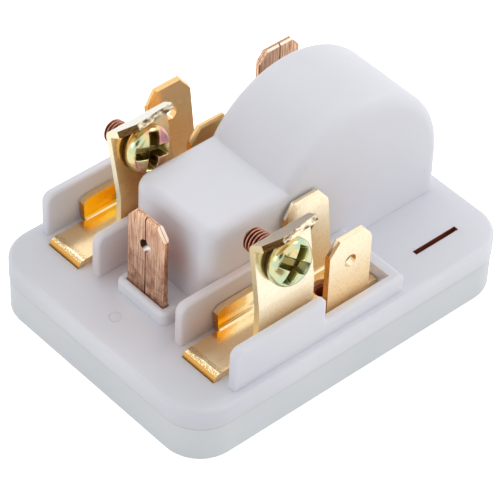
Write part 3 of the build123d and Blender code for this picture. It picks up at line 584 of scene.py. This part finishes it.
# Painted shade, nearly black, in the thread's grooves.
groove = add(tree, "Math", {0: thread, 1: 1.0}, operation="SUBTRACT", use_clamp=True)
shine = add(tree, "TexNoise", {
    "Vector": place, "Scale": 1 / plating_grain, "Detail": 4.0, "Roughness": 0.6})
fill(shader, {
    "Base Color": add(tree, "Mix", {
        "Factor": groove, 6: recess_shaded, 7: linear("#2E1812")}, data_type="RGBA"),
    "Roughness": add(tree, "MapRange", {
        "Value": shine, "From Min": 0.3, "From Max": 0.7, "To Min": 0.12, "To Max": 0.26}),
    "Normal": add(tree, "Bump", {"Height": shine, "Strength": 0.25, "Distance": 0.02 * MM}),
    "Metallic": 1.0,
})
print("finish:", zinc.name)

# %% [markdown]
# The spring washers had the same bath, but only their edge shows, in the shade under the heads. It is
# sheared, so it is dull, and it is painted dark as that shade.

# %% Finish: spring washers' zinc, painted dark as shade
washer_shade_zinc, tree, shader, place = blank_material("shaded_yellow_chromate_zinc")
powder_grain = 0.4
powder = add(tree, "TexNoise", {
    "Vector": place, "Scale": 1 / powder_grain, "Detail": 3.0, "Roughness": 0.6})
fill(shader, {
    "Base Color": add(tree, "Mix", {
        "Factor": powder, 6: linear("#37301A"), 7: linear("#5C5230")}, data_type="RGBA"),
    "Roughness": add(tree, "MapRange", {"Value": powder, "To Min": 0.35, "To Max": 0.5}),
    "Metallic": 1.0,
})
print("finish:", washer_shade_zinc.name)

# %% [markdown]
# ## What is inside
# The starter is a disc of barium titanate ceramic, fired to a dark grey, with a silver coat on both
# faces. Two springs of stainless strip press on it. They are hidden when the relay is whole, but a part
# that can be taken apart shows them, so they get their own finishes.

# %% Finish: silvered ceramic
ceramic, tree, shader, place = blank_material("silvered_ptc_ceramic")
ceramic_grit, silver_from_middle = 0.2, 1.29
grit = add(tree, "TexNoise", {
    "Vector": place, "Scale": 1 / ceramic_grit, "Detail": 4.0, "Roughness": 0.7})
disc_place = add(tree, "SeparateXYZ", {"Vector": place})
off_middle = add(tree, "Math", {0: disc_place.outputs["Y"]}, operation="ABSOLUTE")
silvered = add(tree, "Math", {0: off_middle, 1: silver_from_middle}, operation="GREATER_THAN")
fired = add(tree, "Mix", {"Factor": grit, 6: linear("#5B5654"), 7: linear("#77716D")}, data_type="RGBA")
fill(shader, {
    "Base Color": add(tree, "Mix", {
        "Factor": silvered, 6: fired, 7: linear("#D5D4CF")}, data_type="RGBA"),
    "Metallic": silvered,
    "Roughness": add(tree, "MapRange", {"Value": grit, "To Min": 0.42, "To Max": 0.68}),
})
print("finish:", ceramic.name)

# %% Finish: stainless spring strip
spring_steel, tree, shader, place = blank_material("rolled_stainless_strip")
strip_line, strip_stretch = 0.12, 0.08
strip_map = add(tree, "Mapping", {"Vector": place, "Scale": (1.0, 1.0, strip_stretch)})
strip_lines = add(tree, "TexNoise", {
    "Vector": strip_map, "Scale": 1 / strip_line, "Detail": 3.0, "Roughness": 0.6})
fill(shader, {
    "Base Color": add(tree, "Mix", {
        "Factor": strip_lines, 6: linear("#B9B8B4"), 7: linear("#D3D2CE")}, data_type="RGBA"),
    "Roughness": add(tree, "MapRange", {"Value": strip_lines, "To Min": 0.2, "To Max": 0.38}),
    "Normal": add(tree, "Bump", {"Height": strip_lines, "Strength": 0.4, "Distance": 0.01 * MM}),
    "Metallic": 1.0,
})
print("finish:", spring_steel.name)

# %% [markdown]
# ## Dress the CAD nodes
# A node's shape stays as the CAD has it. Its mesh is loose triangles, so a Weld modifier joins them and
# an Edge Split parts them again only where they meet at more than 28 degrees. Fillets then shade
# smoothly and folded edges stay crisp.

# %% Give each node its finish
weld_distance, crisp_angle = 0.0005, 28
finishes = {
    "upper_housing": housing_pbt,
    "bottom_cover": cover_pbt,
    "line_terminal": line_brass,
    "neutral_terminal": neutral_brass,
    "line_washer": washer_shade_zinc,
    "neutral_washer": washer_shade_zinc,
    "line_screw": zinc,
    "neutral_screw": zinc,
    "front_blade": copper,
    "rear_blade": copper,
    "slot_contact": copper,
    "run_bus": bus_brass,
    "start_bus": bus_brass,
    "common_bus": bus_brass,
    "run_sleeve": spring_bronze,
    "start_sleeve": spring_bronze,
    "common_sleeve": spring_bronze,
    "run_contact": spring_steel,
    "start_contact": spring_steel,
    "ptc_disc": ceramic,
}
for name, finish in finishes.items():
    piece = nodes[name]
    piece.data.materials.clear()
    piece.data.materials.append(finish)
    piece.data.polygons.foreach_set("use_smooth", np.ones(len(piece.data.polygons), dtype=bool))
    weld = piece.modifiers.new("Weld", "WELD")
    weld.merge_threshold = weld_distance * MM
    split = piece.modifiers.new("Edge Split", "EDGE_SPLIT")
    split.split_angle = np.radians(crisp_angle)
print("dressed nodes:", len(finishes))

# %% [markdown]
# ## Screws
# An M3 screw has a pan head with a cross recess and a rolled thread of 0.5 mm pitch. Both could be cut
# with booleans, but a grid of points gives rounder, cleaner metal: the head is a height above a disc,
# and the thread is a radius that depends on angle and length. Each screw stands where the CAD's screw
# does, square to its leaning plate, and takes the place of that one, whose shank is plain.

# %% Grids to meshes


def grid_faces(rows, columns, start=0):
    """Quads between neighbouring points of a grid whose columns close into a ring."""
    row, column = np.meshgrid(np.arange(rows - 1), np.arange(columns), indexing="ij")
    following = (column + 1) % columns
    corners = (row * columns + column, (row + 1) * columns + column,
               (row + 1) * columns + following, row * columns + following)
    return start + np.stack(corners, axis=-1).reshape(-1, 4)


def surface(name, grids, attributes, material):
    """One mesh object from several closed-ring grids of points in metres, with thread values for each."""
    points, faces, values, start = [], [], [], 0
    for grid, value in zip(grids, attributes):
        rows, columns = grid.shape[:2]
        points.append(grid.reshape(-1, 3))
        faces.append(grid_faces(rows, columns, start))
        values.append(value.ravel())
        start += rows * columns
    mesh = bpy.data.meshes.new(name)
    mesh.from_pydata(np.concatenate(points).tolist(), [], np.concatenate(faces).tolist())
    thread = mesh.attributes.new("thread", "FLOAT", "POINT")
    thread.data.foreach_set("value", np.concatenate(values).astype(np.float32))
    mesh.polygons.foreach_set("use_smooth", np.ones(len(mesh.polygons), dtype=bool))
    mesh.materials.append(material)
    piece = bpy.data.objects.new(name, mesh)
    bpy.context.scene.collection.objects.link(piece)
    return piece


print("faces of a 3 by 4 grid:", len(grid_faces(3, 4)))

# %% [markdown]
# The head is turned from its middle out over a quarter circle at the rim. A punch pressed the cross into
# it, so the recess has sloping ends and sides and a slightly rounded lip. A cone closes the shank's tip.

# %% Head of a screw
head_radius, head_height, head_round, head_crown = 2.95, 1.75, 0.95, 0.42
head_base_bevel = 0.06
head_rings, round_rings, head_points = 84, 22, 288
wing_length, wing_half_width, wing_depth, wing_end_slope, wing_side_slope = 2.4, 0.76, 1.3, 1.9, 3.2
recess_lip, recess_value_depth = 0.05, 0.5
thread_radius = 1.5


def head_grid():
    """Pan head over the plane z = 0. Height is the flat top less a slight crown, then a quarter circle
    at the rim. The recess is the larger of two crossing wings, each as deep as the smallest of its
    depth, its distance from the wing's end and its distance from the wing's side, times their slopes.
    The second result is the thread value: 0 on the head and -1 deep in the recess."""
    inner = np.linspace(0.0, head_radius - head_round, head_rings)
    turn = np.linspace(0.0, np.pi / 2, round_rings)[1:]
    radius = np.concatenate([inner, head_radius - head_round + head_round * np.sin(turn)])
    top = np.concatenate([np.full(inner.size, head_height), head_height - head_round * (1 - np.cos(turn))])
    top = top - head_crown * (radius / head_radius) ** 2
    angle = np.linspace(0.0, 2 * np.pi, head_points, endpoint=False)
    x = radius[:, None] * np.cos(angle)
    y = radius[:, None] * np.sin(angle)
    wings = []
    for along, across in ((x, y), (y, x)):
        end = (wing_length - np.abs(along)) * wing_end_slope
        side = (wing_half_width - np.abs(across)) * wing_side_slope
        wings.append(np.minimum(np.minimum(end, side), wing_depth))
    cut = np.maximum(*wings)
    depth = (cut + np.sqrt(cut**2 + recess_lip**2)) / 2
    depth = depth * (radius[:, None] < head_radius - 0.5 * head_round)
    upper = np.stack([x, y, top[:, None] - depth], axis=-1)
    base_radius = np.array([head_radius, head_radius - head_base_bevel, thread_radius, 0.0])[:, None]
    base_height = np.array([head_base_bevel, 0.0, 0.0, 0.0])[:, None]
    base = np.stack(np.broadcast_arrays(
        base_radius * np.cos(angle), base_radius * np.sin(angle), base_height), axis=-1)
    deep = -np.clip(depth / recess_value_depth, 0.0, 1.0)
    return np.concatenate([upper, base]), np.concatenate([deep, np.zeros(base.shape[:2])])


print("head grid:", head_grid()[0].shape)

# %% Shank of a screw
thread_depth, thread_pitch, shank_length, tip_chamfer = 0.34, 0.5, 6.0, 0.45
shank_rings, shank_points = 190, 72


def shank_grid():
    """Shank below z = 0. Radius is the thread's crest less a smoothed wave of the depth times how far
    the point is through its turn, and never more than a cone that closes the tip. The second result is
    the thread value: 1 on the crests and 2 at the bottom of the grooves, where the shade is painted."""
    along = np.concatenate([np.linspace(0.0, shank_length, shank_rings), [shank_length]])
    angle = np.linspace(0.0, 2 * np.pi, shank_points, endpoint=False)
    phase = along[:, None] / thread_pitch - angle / (2 * np.pi)
    wave = 0.5 - 0.5 * np.cos(2 * np.pi * phase)
    groove = wave**2 * (3 - 2 * wave)
    radius = thread_radius - thread_depth * groove
    cone = (shank_length - along[:, None]) + thread_radius - tip_chamfer
    radius = np.minimum(radius, cone)
    radius[-1] = 0.0
    points = np.stack(
        [radius * np.cos(angle), radius * np.sin(angle), -np.broadcast_to(along[:, None], radius.shape)],
        axis=-1,
    )
    return points, 1.0 + groove


print("shank grid:", shank_grid()[0].shape)

# %% [markdown]
# The plates are folded up from the terminal's floor and lean outwards, the far one more. A screw's seat
# lies on its plate's middle line, some way above the kink, and its washer lies between. The same sizes
# as in the CAD give that place. Nobody lines up the crosses of two screws, so each has its own spin.

# %% Stand the screws on their plates
plinth_top = 7.75
strip_width = 7.05
kink_rise = 8.25
screw_along = 4.95
plate_front_x, plate_width = -12.85, 8.05
washer_thickness = 0.5


def stand(grid, centre_y, plate_lean, spin):
    """Turns a grid about its own axis by `spin`, then stands it on the leaning plate's washer."""
    lean = np.radians(plate_lean)
    outwards = np.array([0.0, -np.cos(lean), np.sin(lean)])
    across = np.array([1.0, 0.0, 0.0])
    upwards = np.cross(outwards, across)
    cosine, sine = np.cos(np.radians(spin)), np.sin(np.radians(spin))
    turned = np.stack([cosine * across + sine * upwards, -sine * across + cosine * upwards, outwards])
    seat = np.array([
        plate_front_x + plate_width / 2,
        centre_y - strip_width / 2 + screw_along * np.sin(lean),
        plinth_top + kink_rise + screw_along * np.cos(lean),
    ])
    return (grid @ turned + seat + outwards * washer_thickness) * MM


for name, centre_y, plate_lean, spin in (
    ("line_screw", -11.6, 8.9, 50.0),
    ("neutral_screw", 11.8, 13.3, 75.0),
):
    shapes, thread_values = zip(head_grid(), shank_grid())
    grids = [stand(grid, centre_y, plate_lean, spin) for grid in shapes]
    screw = surface(name + "_threaded", grids, thread_values, zinc)
    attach(screw, "root")
    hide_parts(name)
    print(screw.name, "triangles:", 2 * len(screw.data.polygons))

# %% [markdown]
# ## Camera
# The picture was taken from the front left corner, about 43 degrees down, with a long lens. The camera's
# place follows from that angle, a small roll, the distance and where the middle of the picture falls.

# %% Camera
azimuth, elevation, roll = np.radians([-43.228, 43.307, 2.559])
distance, shift_right, shift_up = 356.65, -0.094, 4.596
film_width, focal_length = 36.0, 220.33
back = np.array([
    np.sin(azimuth) * np.cos(elevation), -np.cos(azimuth) * np.cos(elevation), np.sin(elevation)
])
level = np.array([np.cos(azimuth), np.sin(azimuth), 0.0])
upright = np.cross(back, level)
right = np.cos(roll) * level + np.sin(roll) * upright
up = -np.sin(roll) * level + np.cos(roll) * upright
eye = (back * distance + right * shift_right + up * shift_up) * MM
camera = bpy.data.cameras.new("camera")
camera.sensor_width = film_width
camera.lens = focal_length
camera.clip_start = 0.01
camera_holder = bpy.data.objects.new("camera", camera)
camera_holder.matrix_world = Matrix([
    [right[0], up[0], back[0], eye[0]],
    [right[1], up[1], back[1], eye[1]],
    [right[2], up[2], back[2], eye[2]],
    [0.0, 0.0, 0.0, 1.0],
])
bpy.context.scene.collection.objects.link(camera_holder)
bpy.context.scene.camera = camera_holder
bpy.context.scene.view_settings.view_transform = "Standard"
print("camera at", [round(edge, 3) for edge in eye])

# %% [markdown]
# ## Floor and light
# Small parts are photographed in a white tent on pale paper. The paper is a large disc. The camera sees
# it lifted by a glow of its own, so that it comes out nearly white while it still takes the relay's
# shadow. Mirrors see a weaker lift, and matt surfaces none, so the plastic gets no extra light from
# below.

# %% Floor
floor_radius, floor_corners = 2.0, 96
paper_fibre = 6.0
lift_for_camera, lift_for_mirrors = 0.9, 0.4
ring = np.linspace(0.0, 2 * np.pi, floor_corners, endpoint=False)
floor_points = np.stack([floor_radius * np.cos(ring), floor_radius * np.sin(ring), 0 * ring], axis=-1)
floor_mesh = bpy.data.meshes.new("floor")
floor_mesh.from_pydata(floor_points.tolist(), [], [list(range(floor_corners))])
floor = bpy.data.objects.new("floor", floor_mesh)
bpy.context.scene.collection.objects.link(floor)
paper, tree, shader, place = blank_material("white_paper")
fibre = add(tree, "TexNoise", {"Vector": place, "Scale": 1 / paper_fibre, "Detail": 3.0})
rays = add(tree, "LightPath")
mirror_lift = add(tree, "Math", {
    0: rays.outputs["Is Glossy Ray"], 1: lift_for_mirrors}, operation="MULTIPLY")
fill(shader, {
    "Base Color": add(tree, "Mix", {
        "Factor": fibre, 6: linear("#F6F6F8"), 7: linear("#FAFAFB")}, data_type="RGBA"),
    "Emission Strength": add(tree, "Math", {
        0: rays.outputs["Is Camera Ray"], 1: lift_for_camera, 2: mirror_lift}, operation="MULTIPLY_ADD"),
    "Emission Color": linear("#FFFFFF"),
    "Roughness": 0.9,
})
floor_mesh.materials.append(paper)
print("floor:", 2 * floor_radius, "m across")

# %% [markdown]
# The brass plates look towards minus Y, which is the near right side in the picture, and mirror what is
# there. Bright metal that mirrors nothing but white looks like plastic. A buff card, folded up along
# its outer edge, gives the plates their warm middle tone. A lamp with a colour could do that too, but
# it would tint the white plastic. Only mirrors see the card: the camera and the matt surfaces don't,
# and it throws no shadow.

# %% Buff card
card_rise, card_height, card_far_y = 0.3, 70.0, -170.0
card_left_x, card_right_x = -150.0, 40.0
card_nap = 2.0
card_points = np.array([
    (-90.0, -46.0, card_rise),
    (2.0, -54.0, card_rise),
    (card_right_x, card_far_y, card_rise),
    (card_left_x, card_far_y, card_rise),
    (card_right_x, card_far_y, card_height),
    (card_left_x, card_far_y, card_height),
])
card_mesh = bpy.data.meshes.new("buff_card")
card_mesh.from_pydata((card_points * MM).tolist(), [], [(0, 1, 2, 3), (3, 2, 4, 5)])
card = bpy.data.objects.new("buff_card", card_mesh)
bpy.context.scene.collection.objects.link(card)
card_paper, tree, shader, place = blank_material("buff_card")
nap = add(tree, "TexNoise", {"Vector": place, "Scale": 1 / card_nap, "Detail": 2.0})
fill(shader, {
    "Base Color": add(tree, "Mix", {
        "Factor": nap, 6: linear("#C99E72"), 7: linear("#D2AA80")}, data_type="RGBA"),
    "Roughness": 0.95,
})
card_mesh.materials.append(card_paper)
card.visible_camera = False
card.visible_diffuse = False
card.visible_shadow = False
card.visible_transmission = False
print("card:", card_right_x - card_left_x, "mm wide")

# %% [markdown]
# The world is the tent's cloth. Matt surfaces get light from it by direction: most from minus X and
# minus Y, less from the top and from plus X, and next to none from plus Y. They also get less from where
# the camera stands, because the photographer is in the way. Mirrors see even white cloth with a dark
# round opening, which is the lens looking in. The camera and what is seen through a surface get plain
# white. A picture of a real room could light the relay too, but two products of directions are enough.

# %% Tent of white cloth
light_from_plus_xyz, light_from_minus_xyz = (0.54, 0.0, 0.68), (0.70, 0.84, 0.0)
least_light = 0.13
shade_starts, shade_at_camera = 0.35, 0.25
opening_edge, opening_inside, mirrored_cloth, mirrored_opening = 0.955, 0.98, 1.15, 0.06
world = bpy.data.worlds.new("tent")
bpy.context.scene.world = world
world.use_nodes = True
tree = world.node_tree
tree.nodes.clear()
sky = add(tree, "TexCoord").outputs["Generated"]
plus = add(tree, "VectorMath", {0: sky, 1: (0.0, 0.0, 0.0)}, operation="MAXIMUM")
turned_sky = add(tree, "VectorMath", {0: sky, "Scale": -1.0}, operation="SCALE")
minus = add(tree, "VectorMath", {0: turned_sky, 1: (0.0, 0.0, 0.0)}, operation="MAXIMUM")
from_plus = add(tree, "VectorMath", {0: plus, 1: light_from_plus_xyz}, operation="DOT_PRODUCT")
from_minus = add(tree, "VectorMath", {0: minus, 1: light_from_minus_xyz}, operation="DOT_PRODUCT")
sides = add(tree, "Math", {0: from_plus, 1: from_minus}, operation="ADD")
towards_camera = add(tree, "VectorMath", {0: sky, 1: tuple(back.tolist())}, operation="DOT_PRODUCT")
shaded = add(tree, "MapRange", {
    "Value": towards_camera, "From Min": shade_starts, "From Max": 1.0,
    "To Min": 1.0, "To Max": shade_at_camera})
cloth = add(tree, "Math", {0: sides, 1: shaded, 2: least_light}, operation="MULTIPLY_ADD")
opening = add(tree, "MapRange", {
    "Value": towards_camera, "From Min": opening_edge, "From Max": opening_inside,
    "To Min": mirrored_cloth, "To Max": mirrored_opening})
rays = add(tree, "LightPath")
mirrored = add(tree, "Mix", {"Factor": rays.outputs["Is Glossy Ray"], 2: cloth, 3: opening})
beyond = add(tree, "Math", {
    0: rays.outputs["Is Camera Ray"], 1: rays.outputs["Is Transmission Ray"]}, operation="MAXIMUM")
strength = add(tree, "Mix", {"Factor": beyond, 2: mirrored, 3: 1.0})
tent = add(tree, "Background", {"Color": linear("#FFFFFF"), "Strength": strength})
add(tree, "OutputWorld", {"Surface": tent})
print("world nodes:", len(tree.nodes))

# %% [markdown]
# Cloth alone gives no edges to the light. Three softboxes, which are square area lamps turned towards the
# relay, add a highlight and a soft shadow each, from the plus X, plus Y and minus X sides.

# %% Softboxes
softbox_side = 0.16
softboxes = {
    "softbox_right": ((0.42, -0.10, 0.42), 0.25),
    "softbox_back": ((0.10, 0.40, 0.46), 0.25),
    "softbox_left": ((-0.44, 0.02, 0.30), 0.20),
}
for name, (stand_point, power) in softboxes.items():
    lamp = bpy.data.lights.new(name, "AREA")
    lamp.shape = "SQUARE"
    lamp.size = softbox_side
    lamp.energy = power
    holder = bpy.data.objects.new(name, lamp)
    holder.location = stand_point
    holder.rotation_euler = (-Vector(stand_point)).to_track_quat("-Z", "Y").to_euler()
    bpy.context.scene.collection.objects.link(holder)
print("lamps:", len(softboxes))
